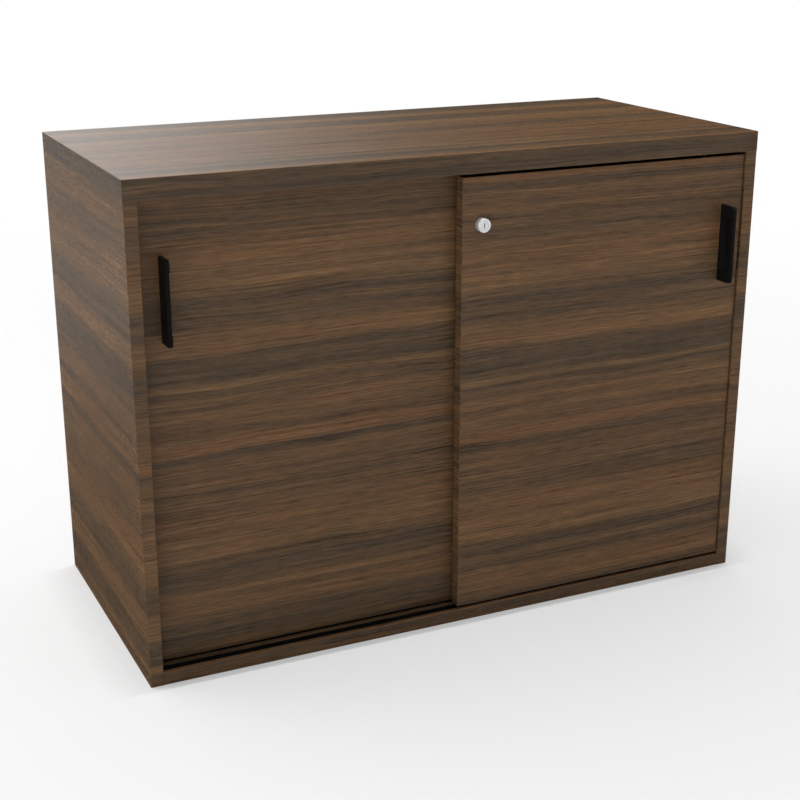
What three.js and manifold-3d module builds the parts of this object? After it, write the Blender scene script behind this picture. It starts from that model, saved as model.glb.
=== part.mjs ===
// Office credenza: a dark wood-grain cabinet with two sliding doors, an adjustable shelf and a push lock.
// Millimetres. +X is right, +Y is towards the back, +Z is up. z = 0 is the floor, x = y = 0 is the middle.
import * as THREE from 'three';
import { mergeVertices } from 'three/addons/utils/BufferGeometryUtils.js';
import Module from 'manifold-3d';

const wasm = await Module();
wasm.setup();

// Cabinet
const WIDTH = 1000;
const DEPTH = 460;
const HEIGHT = 727;

// Boards
const TOP_T = 30;
const SIDE_T = 19;
const BOTTOM_T = 19;
const BACK_T = 8;
const DOOR_T = 19;
const SHELF_T = 22;
const ARRIS = 0.5; // chamfer on the banded edges
const BACK_INSET = 10; // from the rear edge of the sides to the back panel
const BACK_GROOVE = 6; // how far the back panel enters its groove

// Clearances
const FIT = 0.1; // a piece pressed or screwed into its seat
const RUN = 0.3; // a piece that turns or slides in its seat
const OVER = 2; // how far a cutter runs past the face that it enters

// Doors
const FRONT_DOOR_PAST_MIDDLE = 9; // closed door's inner edge beyond the cabinet's middle
const REAR_DOOR_PAST_MIDDLE = 40;
const DOOR_SETBACK = 4; // front door's face behind the carcass front
const DOOR_CLEAR = 6.5; // between the two doors
const DOOR_GAP_TOP = 5;
const DOOR_GAP_BOTTOM = 4;
const SIDE_GAP = 1; // closed door to side panel
const RUNNING_LINE = 10.5; // door's face to the middle of its rollers and guides

// Tracks, a channel for each door in the top and in the bottom
const TRACK_W = 14;
const TRACK_DEPTH = 9;
const TRACK_WALL = 2;

// Door rollers
const ROLLER_R = 11;
const ROLLER_T = 6;
const ROLLER_INSET = 70; // from the door's edge
const ROLLER_HUB_R = 4.2;
const ROLLER_RIM = 2.6;
const ROLLER_WEB = 2.6;
const ROLLER_EDGE = 0.5;
const STUB_R = 1.6; // the roller's own stub axle
const STUB_SHORT = 0.5; // stub end inside the fork's face
const FORK_L = 38;
const FORK_W = 12;
const FORK_H = 21; // inside the door
const FORK_DROP = 3.2; // below the door
const FORK_SLOT_GAP = 1.2;

// Spring guides in the door's top edge
const GUIDE_INSET = 70;
const SLEEVE_R = 6;
const SLEEVE_H = 26;
const SLEEVE_FLOOR = 2;
const SLEEVE_FLANGE_R = 7.5;
const SLEEVE_FLANGE_T = 1.2;
const SLEEVE_LIP = 3;
const GUIDE_R = 4;
const GUIDE_COLLAR_R = 4.6;
const GUIDE_COLLAR_T = 3;
const GUIDE_RISE = 6; // above the cabinet's ceiling, inside the track
const GUIDE_TAIL = 15; // below the door's top edge
const GUIDE_NOSE = 1.2;

// Handles
const HANDLE_L = 120;
const HANDLE_W = 6.6;
const HANDLE_OUT = 31.5;
const HANDLE_EDGE = 0.7;
const HANDLE_CORNER_R = 5;
const HANDLE_INSET = 34; // from the door's closing edge to the handle's middle
const HANDLE_FROM_TOP = 135; // from the door's top edge to the handle's middle
const SCOOP_R = 14;
const SCOOP_DEPTH = 3.2;
const SCOOP_FROM_END = 16; // from the handle's end
const SCOOP_OUT = 14; // from the door to the scoop's middle
const LIP_RELIEF = 1.6; // lip set back along the scoop
const SCREW_FROM_END = 12; // from the handle's end
const SCREW_R = 1.9;
const SCREW_HEAD_R = 4;
const SCREW_HEAD_T = 2.4;
const SCREW_SINK = 3; // counterbore in the door's back
const SCREW_GRIP = 12; // inside the handle
const SCREW_TAP = 13; // depth of the handle's hole
const SCREW_TIP = 0.5;
const SCREW_DOME = 1;
const DRIVE_W = 0.9;
const DRIVE_L = 4.4;
const DRIVE_DEPTH = 1.3;

// Push lock in the front door
const LOCK_FROM_EDGE = 31;
const LOCK_FROM_TOP = 69.5;
const LOCK_OUT = 9.5; // plunger's face in front of the door, unlocked
const LOCK_TRAVEL = 6.8;
const PLUNGER_R = 10.2;
const PLUNGER_EDGE = 0.6;
const BARREL_R = 12;
const BARREL_SINK = 2; // barrel's front end behind the door's face
const BARREL_END = 2.5;
const BOLT_R = 4;
const BOLT_EDGE = 0.6;
const BOLT_SHORT = 0.8; // bolt's end inside the door's back, unlocked
const BOLT_SPIGOT_R = 2.2; // bolt's end that is fixed in the plunger
const BOLT_SPIGOT_L = 3.5;
const PLUG_R = 6;
const PLUG_L = 13.7;
const PLUG_SINK = 0.25; // behind the plunger's face
const KEY_W = 1.6;
const KEY_H = 8.4;
const KEY_DEPTH = 10;
const STRIKE_R = 12;
const STRIKE_PROUD = 4;
const STRIKE_SPIGOT_R = 7.5;
const STRIKE_SPIGOT_L = 9;
const STRIKE_HOLE_GAP = 2; // bolt to the strike's hole
const STRIKE_EDGE = 1;

// Shelf and its pins
const SHELF_SIDE_GAP = 1;
const SHELF_FRONT_GAP = 11.5; // behind the rear door
const SHELF_BACK_GAP = 4;
const PIN_R = 2.5;
const PIN_IN = 9;
const PIN_OUT = 9;
const PIN_COLLAR_R = 4;
const PIN_COLLAR_T = 0.7;
const PIN_TIP = 0.5;
const PIN_ROW_INSET = 40; // from the shelf's front and back edges
const PIN_PITCH = 32;
const PIN_HOLES = 5;
const PIN_HOLE_DEPTH = 10;

// Cam fittings, two at each end of the top and of the bottom
const CAM_R = 7.4;
const CAM_L = 14;
const CAM_SINK = 0.3; // behind the board's face
const CAM_SETBACK = 34; // cam's middle from the joint
const CAM_FROM_FRONT = 130;
const CAM_FROM_BACK = 100;
const CAM_MOUTH_R = 3.8;
const CAM_DRIVE_W = 1.4;
const CAM_DRIVE_L = 9;
const CAM_DRIVE_DEPTH = 2.5;
const DOWEL_R = 3; // threaded end of the cam's bolt
const DOWEL_IN = 11;
const DOWEL_SHANK_R = 2.5;
const DOWEL_HEAD_R = 3.2;
const DOWEL_HEAD_T = 4;
const DOWEL_TIP = 1;
const DOWEL_BORE_R = 4.2;

// Facets round a circle
const SMALL_SIDES = 10;
const MID_SIDES = 16;
const LARGE_SIDES = 36;

// Derived places
const FRONT_Y = -DEPTH / 2;
const REAR_Y = DEPTH / 2;
const INNER_X = WIDTH / 2 - SIDE_T;
const CEILING_Z = HEIGHT - TOP_T;
const BACK_Y = REAR_Y - BACK_INSET - BACK_T; // back panel's inner face
const DOOR_H = CEILING_Z - BOTTOM_T - DOOR_GAP_TOP - DOOR_GAP_BOTTOM;
const DOOR_Z = BOTTOM_T + DOOR_GAP_BOTTOM;
const DOOR_PITCH = DOOR_T + DOOR_CLEAR;
const FRONT_DOOR_X = -FRONT_DOOR_PAST_MIDDLE; // left edge
const REAR_DOOR_X = SIDE_GAP - INNER_X; // left edge
const FRONT_DOOR_W = INNER_X - SIDE_GAP + FRONT_DOOR_PAST_MIDDLE;
const REAR_DOOR_W = INNER_X - SIDE_GAP + REAR_DOOR_PAST_MIDDLE;
const FRONT_DOOR_Y = FRONT_Y + DOOR_SETBACK;
const REAR_DOOR_Y = FRONT_DOOR_Y + DOOR_PITCH;
const TRACK_YS = [FRONT_DOOR_Y + RUNNING_LINE, REAR_DOOR_Y + RUNNING_LINE];
const AXLE_Z = TRACK_WALL - TRACK_DEPTH + FIT + ROLLER_R - DOOR_GAP_BOTTOM; // from the door's bottom edge
const LOCK_X = FRONT_DOOR_X + LOCK_FROM_EDGE;
const LOCK_Z = DOOR_H - LOCK_FROM_TOP; // from the door's bottom edge
const SCREW_SPACING = HANDLE_L - 2 * SCREW_FROM_END;
const SCOOP_L = HANDLE_L - 2 * SCOOP_FROM_END;
const HANDLE_Z = DOOR_H - HANDLE_FROM_TOP; // from the door's bottom edge
const SHOULDER_Y = DOOR_T - BARREL_END - LOCK_TRAVEL - FIT; // plunger's back, from the front door's face
const CAM_YS = [FRONT_Y + CAM_FROM_FRONT, REAR_Y - CAM_FROM_BACK];
const SHELF_Z = (BOTTOM_T + CEILING_Z - SHELF_T) / 2; // midway
const SHELF_FRONT_Y = REAR_DOOR_Y + DOOR_T + SHELF_FRONT_GAP;
const SHELF_REAR_Y = BACK_Y - SHELF_BACK_GAP;
const PIN_YS = [SHELF_FRONT_Y + PIN_ROW_INSET, SHELF_REAR_Y - PIN_ROW_INSET];
const PIN_Z = SHELF_Z - PIN_R;

const X = new THREE.Vector3(1, 0, 0);
const Y = new THREE.Vector3(0, 1, 0);
const Z = new THREE.Vector3(0, 0, 1);

const FINISHES = {
  board: { color: 0x4b392e, roughness: 0.45, metalness: 0 },
  black: { color: 0x141414, roughness: 0.4, metalness: 0 },
  nylon: { color: 0xd8d5cc, roughness: 0.5, metalness: 0 },
  chrome: { color: 0xc9ccd0, roughness: 0.15, metalness: 1 },
  zinc: { color: 0x9a9da1, roughness: 0.4, metalness: 1 },
};

// Geometry helpers

function weld(geometry) {
  const bare = new THREE.BufferGeometry();
  bare.setAttribute('position', geometry.getAttribute('position'));
  bare.setIndex(geometry.getIndex());
  const merged = mergeVertices(bare);
  const kept = [];
  const index = merged.getIndex().array;
  for (let i = 0; i < index.length; i += 3) {
    const [a, b, c] = [index[i], index[i + 1], index[i + 2]];
    if (a !== b && b !== c && c !== a) kept.push(a, b, c);
  }
  merged.setIndex(kept);
  return merged;
}

function solid(geometry) {
  const closed = weld(geometry);
  const vertProperties = Float32Array.from(closed.getAttribute('position').array);
  const triVerts = Uint32Array.from(closed.getIndex().array);
  return new wasm.Manifold(new wasm.Mesh({ numProp: 3, vertProperties, triVerts }));
}

function cut(geometry, cutters) {
  let body = solid(geometry);
  for (const cutter of cutters) body = body.subtract(solid(cutter));
  const mesh = body.getMesh();
  const result = new THREE.BufferGeometry();
  result.setAttribute('position', new THREE.BufferAttribute(mesh.vertProperties, 3));
  result.setIndex(new THREE.BufferAttribute(mesh.triVerts, 1));
  return result;
}

// A block between two corners
function block(x0, x1, y0, y1, z0, z1) {
  const geometry = new THREE.BoxGeometry(x1 - x0, y1 - y0, z1 - z0);
  return geometry.translate((x0 + x1) / 2, (y0 + y1) / 2, (z0 + z1) / 2);
}

// A round rod of radius r from a point, along an axis
function rod(r, x, y, z, axis, length, sides) {
  const geometry = new THREE.CylinderGeometry(r, r, length, sides);
  geometry.translate(0, length / 2, 0);
  geometry.applyQuaternion(new THREE.Quaternion().setFromUnitVectors(Y, axis));
  return geometry.translate(x, y, z);
}

// A profile of [radius, distance] pairs turned about an axis through the origin
function turned(profile, axis, sides) {
  const points = profile.map(([r, d]) => new THREE.Vector2(r, d));
  const geometry = new THREE.LatheGeometry(points, sides);
  return geometry.applyQuaternion(new THREE.Quaternion().setFromUnitVectors(Y, axis));
}

function outline(points) {
  return new THREE.Shape(points.map(([u, v]) => new THREE.Vector2(u, v)));
}

function straight(shape, length) {
  return new THREE.ExtrudeGeometry(shape, { depth: length, bevelEnabled: false, curveSegments: 6 });
}

// A profile drawn in Y and Z, run along X about the middle
function alongX(shape, length) {
  const basis = new THREE.Matrix4().makeBasis(Y, Z, X);
  return straight(shape, length).applyMatrix4(basis).translate(-length / 2, 0, 0);
}

// A flat piece with chamfered rims, drawn in the plane of its face
function chamfered(shape, thickness, edge) {
  const settings = { depth: thickness - 2 * edge, bevelThickness: edge, bevelSize: edge, bevelOffset: -edge };
  const geometry = new THREE.ExtrudeGeometry(shape, { ...settings, bevelSegments: 1, curveSegments: 5 });
  return geometry.translate(0, 0, edge);
}

// A slot with round ends, length along X
function stadium(length, width) {
  const half = (length - width) / 2;
  const shape = new THREE.Shape();
  shape.absarc(half, 0, width / 2, -Math.PI / 2, Math.PI / 2);
  shape.absarc(-half, 0, width / 2, Math.PI / 2, (3 * Math.PI) / 2);
  return shape;
}

function piece(name, geometry, finish) {
  const mesh = new THREE.Mesh(geometry, new THREE.MeshStandardMaterial(FINISHES[finish]));
  mesh.name = name;
  return mesh;
}

function placed(mesh, x, y, z) {
  mesh.position.set(x, y, z);
  return mesh;
}

// Carcass boards

function topPanel() {
  const w = WIDTH / 2;
  const shape = outline([[-w, FRONT_Y], [w, FRONT_Y], [w, REAR_Y], [-w, REAR_Y]]);
  const board = chamfered(shape, TOP_T + ARRIS, ARRIS).translate(0, 0, -ARRIS);
  // The lower rim is cut back square, so that it closes on the sides without a groove
  const cutters = [block(-w - OVER, w + OVER, FRONT_Y - OVER, REAR_Y + OVER, -OVER, 0)];
  cutters.push(block(
    -INNER_X - BACK_GROOVE - FIT, INNER_X + BACK_GROOVE + FIT,
    BACK_Y, BACK_Y + BACK_T + FIT, -OVER, BACK_GROOVE + FIT,
  ));
  for (const y of TRACK_YS) {
    cutters.push(block(-INNER_X, INNER_X, y - TRACK_W / 2, y + TRACK_W / 2, -OVER, TRACK_DEPTH));
  }
  for (const side of [-1, 1]) {
    for (const y of CAM_YS) {
      const x = side * (INNER_X + SIDE_T / 2);
      cutters.push(rod(DOWEL_R + FIT, x, y, -OVER, Z, OVER + DOWEL_IN + FIT, SMALL_SIDES));
    }
  }
  return placed(piece('top_panel', cut(board, cutters), 'board'), 0, 0, CEILING_Z);
}

function bottomPanel() {
  const grooves = [[BACK_Y, BACK_Y + BACK_T + FIT, BACK_GROOVE + FIT]];
  for (const y of [...TRACK_YS].reverse()) grooves.push([y - TRACK_W / 2, y + TRACK_W / 2, TRACK_DEPTH]);
  const profile = [[FRONT_Y + ARRIS, 0], [REAR_Y, 0], [REAR_Y, BOTTOM_T]];
  for (const [y0, y1, depth] of grooves) {
    profile.push([y1, BOTTOM_T], [y1, BOTTOM_T - depth], [y0, BOTTOM_T - depth], [y0, BOTTOM_T]);
  }
  profile.push([FRONT_Y + ARRIS, BOTTOM_T], [FRONT_Y, BOTTOM_T - ARRIS], [FRONT_Y, ARRIS]);
  const cutters = [];
  for (const side of [-1, 1]) {
    for (const y of CAM_YS) {
      const inwards = X.clone().multiplyScalar(-side);
      const camX = side * (INNER_X - CAM_SETBACK);
      const endX = side * (INNER_X + OVER);
      cutters.push(rod(CAM_R + FIT, camX, y, -OVER, Z, OVER + CAM_SINK + CAM_L + FIT, MID_SIDES));
      cutters.push(rod(DOWEL_BORE_R, endX, y, BOTTOM_T / 2, inwards, OVER + CAM_SETBACK, SMALL_SIDES));
    }
  }
  return piece('bottom_panel', cut(alongX(outline(profile), 2 * INNER_X), cutters), 'board');
}

function sidePanel(name, side) {
  const inner = side * INNER_X;
  const outer = side * (INNER_X + SIDE_T);
  const groove = side * (INNER_X + BACK_GROOVE + FIT);
  const profile = [
    [inner, FRONT_Y + ARRIS], [inner + side * ARRIS, FRONT_Y],
    [outer - side * ARRIS, FRONT_Y], [outer, FRONT_Y + ARRIS],
    [outer, REAR_Y], [inner, REAR_Y],
    [inner, BACK_Y + BACK_T + FIT], [groove, BACK_Y + BACK_T + FIT], [groove, BACK_Y], [inner, BACK_Y],
  ];
  const outwards = X.clone().multiplyScalar(side);
  const faceX = inner - side * OVER;
  const cutters = [];
  for (const y of PIN_YS) {
    for (let i = 0; i < PIN_HOLES; i += 1) {
      const z = PIN_Z + (i - (PIN_HOLES - 1) / 2) * PIN_PITCH;
      cutters.push(rod(PIN_R + FIT, faceX, y, z, outwards, OVER + PIN_HOLE_DEPTH, SMALL_SIDES));
    }
  }
  for (const y of CAM_YS) {
    const middleX = inner + side * SIDE_T / 2;
    const camZ = CEILING_Z - CAM_SETBACK;
    cutters.push(rod(CAM_R + FIT, faceX, y, camZ, outwards, OVER + CAM_SINK + CAM_L + FIT, MID_SIDES));
    cutters.push(rod(DOWEL_BORE_R, middleX, y, camZ, Z, CAM_SETBACK + OVER, SMALL_SIDES));
    cutters.push(rod(DOWEL_R + FIT, faceX, y, BOTTOM_T / 2, outwards, OVER + DOWEL_IN + FIT, SMALL_SIDES));
  }
  return piece(name, cut(straight(outline(profile), CEILING_Z), cutters), 'board');
}

function backPanel() {
  const x = INNER_X + BACK_GROOVE;
  const geometry = block(-x, x, BACK_Y, BACK_Y + BACK_T, BOTTOM_T - BACK_GROOVE, CEILING_Z + BACK_GROOVE);
  return piece('back_panel', geometry, 'board');
}

function shelf() {
  const profile = [
    [SHELF_FRONT_Y + ARRIS, 0], [SHELF_REAR_Y, 0], [SHELF_REAR_Y, SHELF_T],
    [SHELF_FRONT_Y + ARRIS, SHELF_T], [SHELF_FRONT_Y, SHELF_T - ARRIS], [SHELF_FRONT_Y, ARRIS],
  ];
  const length = 2 * (INNER_X - SHELF_SIDE_GAP);
  return placed(piece('shelf', alongX(outline(profile), length), 'board'), 0, 0, SHELF_Z);
}

function shelfPin(name, side, y) {
  const profile = [
    [0, -PIN_OUT], [PIN_R - PIN_TIP, -PIN_OUT], [PIN_R, PIN_TIP - PIN_OUT], [PIN_R, -PIN_COLLAR_T],
    [PIN_COLLAR_R, -PIN_COLLAR_T], [PIN_COLLAR_R, 0], [PIN_R, 0], [PIN_R, PIN_IN], [0, PIN_IN],
  ];
  const geometry = turned(profile, X.clone().multiplyScalar(side), SMALL_SIDES);
  return placed(piece(name, geometry, 'zinc'), side * INNER_X, y, PIN_Z);
}

// Cam fittings: the cam sits in one board and the bolt is screwed into the other

function cam(name, face, towards, boardT) {
  const body = rod(CAM_R, 0, 0, 0, face.clone().negate(), CAM_L, MID_SIDES);
  const depth = face.clone().multiplyScalar(CAM_SINK - boardT / 2);
  const start = depth.clone().addScaledVector(towards, -CAM_MOUTH_R);
  const mouth = rod(CAM_MOUTH_R, start.x, start.y, start.z, towards, CAM_R + CAM_MOUTH_R + OVER, SMALL_SIDES);
  const cross = [0, Math.PI / 2].map((turn) => {
    const blade = new THREE.BoxGeometry(CAM_DRIVE_L, 2 * CAM_DRIVE_DEPTH, CAM_DRIVE_W).rotateY(turn);
    return blade.applyQuaternion(new THREE.Quaternion().setFromUnitVectors(Y, face));
  });
  return piece(name, cut(body, [mouth, ...cross]), 'zinc');
}

function camBolt(name, towards) {
  const head = CAM_SETBACK + DOWEL_HEAD_T / 2;
  const profile = [
    [0, -DOWEL_IN], [DOWEL_R - DOWEL_TIP, -DOWEL_IN], [DOWEL_R, DOWEL_TIP - DOWEL_IN], [DOWEL_R, 0],
    [DOWEL_SHANK_R, DOWEL_TIP], [DOWEL_SHANK_R, head - DOWEL_HEAD_T], [DOWEL_HEAD_R, head - DOWEL_HEAD_T],
    [DOWEL_HEAD_R, head - DOWEL_TIP], [DOWEL_HEAD_R - DOWEL_TIP, head], [0, head],
  ];
  return piece(name, turned(profile, towards, SMALL_SIDES), 'zinc');
}

function camFittings() {
  const pieces = [];
  for (const [label, side] of [['left', -1], ['right', 1]]) {
    const inwards = X.clone().multiplyScalar(-side);
    CAM_YS.forEach((y, i) => {
      const place = `${label}_${i + 1}`;
      const down = Z.clone().negate();
      const topCam = cam(`top_cam_${place}`, inwards, Z, SIDE_T);
      pieces.push(placed(topCam, side * (INNER_X + CAM_SINK), y, CEILING_Z - CAM_SETBACK));
      const middleX = side * (INNER_X + SIDE_T / 2);
      pieces.push(placed(camBolt(`top_cam_bolt_${place}`, down), middleX, y, CEILING_Z));
      const lowCam = cam(`bottom_cam_${place}`, down, inwards.clone().negate(), BOTTOM_T);
      pieces.push(placed(lowCam, side * (INNER_X - CAM_SETBACK), y, CAM_SINK));
      pieces.push(placed(camBolt(`bottom_cam_bolt_${place}`, inwards), side * INNER_X, y, BOTTOM_T / 2));
    });
  }
  return pieces;
}

// Tracks

function track(name, y, faceZ, up) {
  const w = TRACK_W / 2;
  const v = w - TRACK_WALL;
  const floor = up * (TRACK_WALL - TRACK_DEPTH);
  const base = -up * TRACK_DEPTH;
  const profile = [[-w, 0], [-w, base], [w, base], [w, 0], [v, 0], [v, floor], [-v, floor], [-v, 0]];
  return placed(piece(name, alongX(outline(profile), 2 * INNER_X), 'black'), 0, y, faceZ);
}

// Doors, drawn from the left bottom corner of the front face

function rollerFork(name) {
  const fork = straight(stadium(FORK_L, FORK_W), FORK_H + FORK_DROP).translate(0, 0, -FORK_DROP);
  const reach = ROLLER_R + FORK_SLOT_GAP;
  const slotW = ROLLER_T / 2 + RUN;
  const slot = block(-reach, reach, -slotW, slotW, -FORK_DROP - OVER, AXLE_Z + reach);
  const hole = rod(STUB_R + FIT, 0, -FORK_W, AXLE_Z, Y, 2 * FORK_W, SMALL_SIDES);
  return piece(name, cut(fork, [slot, hole]), 'black');
}

function roller(name) {
  const half = ROLLER_T / 2;
  const web = ROLLER_WEB / 2;
  const end = FORK_W / 2 - STUB_SHORT;
  const outside = [
    [0, end], [STUB_R, end], [STUB_R, half], [ROLLER_HUB_R, half], [ROLLER_HUB_R, web],
    [ROLLER_R - ROLLER_RIM, web], [ROLLER_R - ROLLER_RIM, half],
    [ROLLER_R - ROLLER_EDGE, half], [ROLLER_R, half - ROLLER_EDGE],
  ];
  const mirrored = outside.map(([r, d]) => [r, -d]);
  return piece(name, turned([...mirrored, ...outside.reverse()], Y, MID_SIDES), 'nylon');
}

function guideSleeve(name) {
  const inner = GUIDE_COLLAR_R + RUN;
  const profile = [
    [0, -SLEEVE_H], [SLEEVE_R, -SLEEVE_H], [SLEEVE_R, 0], [SLEEVE_FLANGE_R, 0],
    [SLEEVE_FLANGE_R, SLEEVE_FLANGE_T], [GUIDE_R + RUN, SLEEVE_FLANGE_T], [GUIDE_R + RUN, -SLEEVE_LIP],
    [inner, -SLEEVE_LIP], [inner, SLEEVE_FLOOR - SLEEVE_H], [0, SLEEVE_FLOOR - SLEEVE_H],
  ];
  return piece(name, turned(profile, Z, MID_SIDES), 'black');
}

function guidePin(name) {
  const top = DOOR_GAP_TOP + GUIDE_RISE;
  const collar = -SLEEVE_LIP - RUN;
  const profile = [
    [0, -GUIDE_TAIL], [GUIDE_R, -GUIDE_TAIL], [GUIDE_R, collar - GUIDE_COLLAR_T],
    [GUIDE_COLLAR_R, collar - GUIDE_COLLAR_T], [GUIDE_COLLAR_R, collar], [GUIDE_R, collar],
    [GUIDE_R, top - GUIDE_NOSE], [GUIDE_R - GUIDE_NOSE, top], [0, top],
  ];
  return piece(name, turned(profile, Z, MID_SIDES), 'black');
}

// The handle's fin stands out from the door, with a finger scoop on the side towards the cabinet's middle
function handle(name, inward) {
  const half = HANDLE_L / 2;
  const r = HANDLE_CORNER_R;
  const fin = new THREE.Shape();
  fin.moveTo(0, -half);
  fin.lineTo(HANDLE_OUT - r, -half);
  fin.absarc(HANDLE_OUT - r, r - half, r, -Math.PI / 2, 0);
  fin.absarc(HANDLE_OUT - r, half - r, r, 0, Math.PI / 2);
  fin.lineTo(0, half);
  const basis = new THREE.Matrix4().makeBasis(Y.clone().negate(), Z, X.clone().negate());
  const bar = chamfered(fin, HANDLE_W, HANDLE_EDGE).applyMatrix4(basis).translate(HANDLE_W / 2, 0, 0);
  const face = inward * HANDLE_W / 2;
  const reach = 2 * Math.sqrt(SCOOP_R ** 2 - (SCOOP_R - SCOOP_DEPTH) ** 2);
  const scoop = new THREE.CapsuleGeometry(SCOOP_R, SCOOP_L - reach, 8, MID_SIDES).rotateX(Math.PI / 2);
  scoop.translate(face + inward * (SCOOP_R - SCOOP_DEPTH), -SCOOP_OUT, 0);
  const sloped = SCOOP_L / 2;
  const flat = sloped - 2 * LIP_RELIEF;
  const deep = face - inward * LIP_RELIEF;
  const clear = face + inward * OVER;
  const relief = outline([
    [clear, -sloped - OVER], [face, -sloped], [deep, -flat],
    [deep, flat], [face, sloped], [clear, sloped + OVER],
  ]);
  const upright = new THREE.Matrix4().makeBasis(X, Z, Y.clone().negate());
  const lip = straight(relief, HANDLE_OUT).applyMatrix4(upright).translate(0, -SCOOP_OUT, 0);
  const out = Y.clone().negate();
  const tapped = [-1, 1].map((end) => {
    return rod(SCREW_R + FIT, 0, OVER, end * SCREW_SPACING / 2, out, OVER + SCREW_TAP, SMALL_SIDES);
  });
  return piece(name, cut(bar, [scoop, lip, ...tapped]), 'black');
}

function handleScrew(name) {
  const seat = DOOR_T - SCREW_SINK;
  const back = seat + SCREW_HEAD_T;
  const profile = [
    [0, -SCREW_GRIP], [SCREW_R - SCREW_TIP, -SCREW_GRIP], [SCREW_R, SCREW_TIP - SCREW_GRIP], [SCREW_R, seat],
    [SCREW_HEAD_R, seat], [SCREW_HEAD_R, back - SCREW_DOME], [SCREW_HEAD_R - SCREW_DOME, back], [0, back],
  ];
  const cross = [[DRIVE_L, DRIVE_W], [DRIVE_W, DRIVE_L]].map(([w, h]) => {
    return block(-w / 2, w / 2, back - DRIVE_DEPTH, back + OVER, -h / 2, h / 2);
  });
  return piece(name, cut(turned(profile, Y, SMALL_SIDES), cross), 'zinc');
}

function door(prefix, width, handleX, inward, extraCutters, extras) {
  const board = chamfered(outline([[0, 0], [width, 0], [width, DOOR_H], [0, DOOR_H]]), DOOR_T, ARRIS);
  board.applyMatrix4(new THREE.Matrix4().makeBasis(X, Z, Y.clone().negate())).translate(0, DOOR_T, 0);
  const cutters = [...extraCutters];
  const fittings = [...extras];
  fittings.push(placed(handle(`${prefix}_handle`, inward), handleX, 0, HANDLE_Z));
  for (const [label, end] of [['lower', -1], ['upper', 1]]) {
    const z = HANDLE_Z + end * SCREW_SPACING / 2;
    cutters.push(rod(SCREW_R + RUN, handleX, -OVER, z, Y, DOOR_T, SMALL_SIDES));
    cutters.push(rod(SCREW_HEAD_R + RUN, handleX, DOOR_T - SCREW_SINK, z, Y, SCREW_SINK + OVER, SMALL_SIDES));
    fittings.push(placed(handleScrew(`${prefix}_handle_screw_${label}`), handleX, 0, z));
  }
  for (const [label, x] of [['left', ROLLER_INSET], ['right', width - ROLLER_INSET]]) {
    const mortise = straight(stadium(FORK_L + 2 * FIT, FORK_W + 2 * FIT), OVER + FORK_H);
    cutters.push(mortise.translate(x, RUNNING_LINE, -OVER));
    fittings.push(placed(rollerFork(`${prefix}_roller_fork_${label}`), x, RUNNING_LINE, 0));
    fittings.push(placed(roller(`${prefix}_roller_${label}`), x, RUNNING_LINE, AXLE_Z));
  }
  for (const [label, x] of [['left', GUIDE_INSET], ['right', width - GUIDE_INSET]]) {
    const depth = SLEEVE_H + FIT;
    cutters.push(rod(SLEEVE_R + FIT, x, RUNNING_LINE, DOOR_H - depth, Z, depth + OVER, MID_SIDES));
    fittings.push(placed(guideSleeve(`${prefix}_guide_sleeve_${label}`), x, RUNNING_LINE, DOOR_H));
    fittings.push(placed(guidePin(`${prefix}_guide_pin_${label}`), x, RUNNING_LINE, DOOR_H));
  }
  const group = new THREE.Group();
  group.add(piece(prefix, cut(board, cutters), 'board'), ...fittings);
  return group;
}

// Push lock: a barrel set into the front door from behind, a plunger with its bolt and plug,
// and a strike in the rear door

function lockBarrel() {
  const bore = PLUNGER_R + RUN;
  const hole = BOLT_R + RUN;
  const wall = DOOR_T - BARREL_END;
  const profile = [
    [bore, BARREL_SINK], [BARREL_R, BARREL_SINK], [BARREL_R, DOOR_T],
    [hole, DOOR_T], [hole, wall], [bore, wall], [bore, BARREL_SINK],
  ];
  return piece('lock_barrel', turned(profile, Y, LARGE_SIDES), 'chrome');
}

function lockPlunger() {
  const floor = PLUG_L + RUN - LOCK_OUT;
  const bore = PLUG_R + RUN / 2;
  const socket = SHOULDER_Y - BOLT_SPIGOT_L - FIT;
  const profile = [
    [0, floor], [bore, floor], [bore, -LOCK_OUT], [PLUNGER_R - PLUNGER_EDGE, -LOCK_OUT],
    [PLUNGER_R, PLUNGER_EDGE - LOCK_OUT], [PLUNGER_R, SHOULDER_Y],
    [BOLT_SPIGOT_R + FIT, SHOULDER_Y], [BOLT_SPIGOT_R + FIT, socket], [0, socket],
  ];
  return piece('lock_plunger', turned(profile, Y, LARGE_SIDES), 'chrome');
}

function lockBolt() {
  const seat = SHOULDER_Y + FIT;
  const tip = DOOR_T - BOLT_SHORT;
  const profile = [
    [0, SHOULDER_Y - BOLT_SPIGOT_L], [BOLT_SPIGOT_R, SHOULDER_Y - BOLT_SPIGOT_L], [BOLT_SPIGOT_R, seat],
    [BOLT_R, seat], [BOLT_R, tip - BOLT_EDGE], [BOLT_R - BOLT_EDGE, tip], [0, tip],
  ];
  return piece('lock_bolt', turned(profile, Y, MID_SIDES), 'zinc');
}

function lockPlug() {
  const front = PLUG_SINK - LOCK_OUT;
  const body = rod(PLUG_R, 0, front, 0, Y, PLUG_L - PLUG_SINK, MID_SIDES);
  const slot = block(-KEY_W / 2, KEY_W / 2, front - OVER, front + KEY_DEPTH, -KEY_H / 2, KEY_H / 2);
  return piece('lock_plug', cut(body, [slot]), 'zinc');
}

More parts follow.
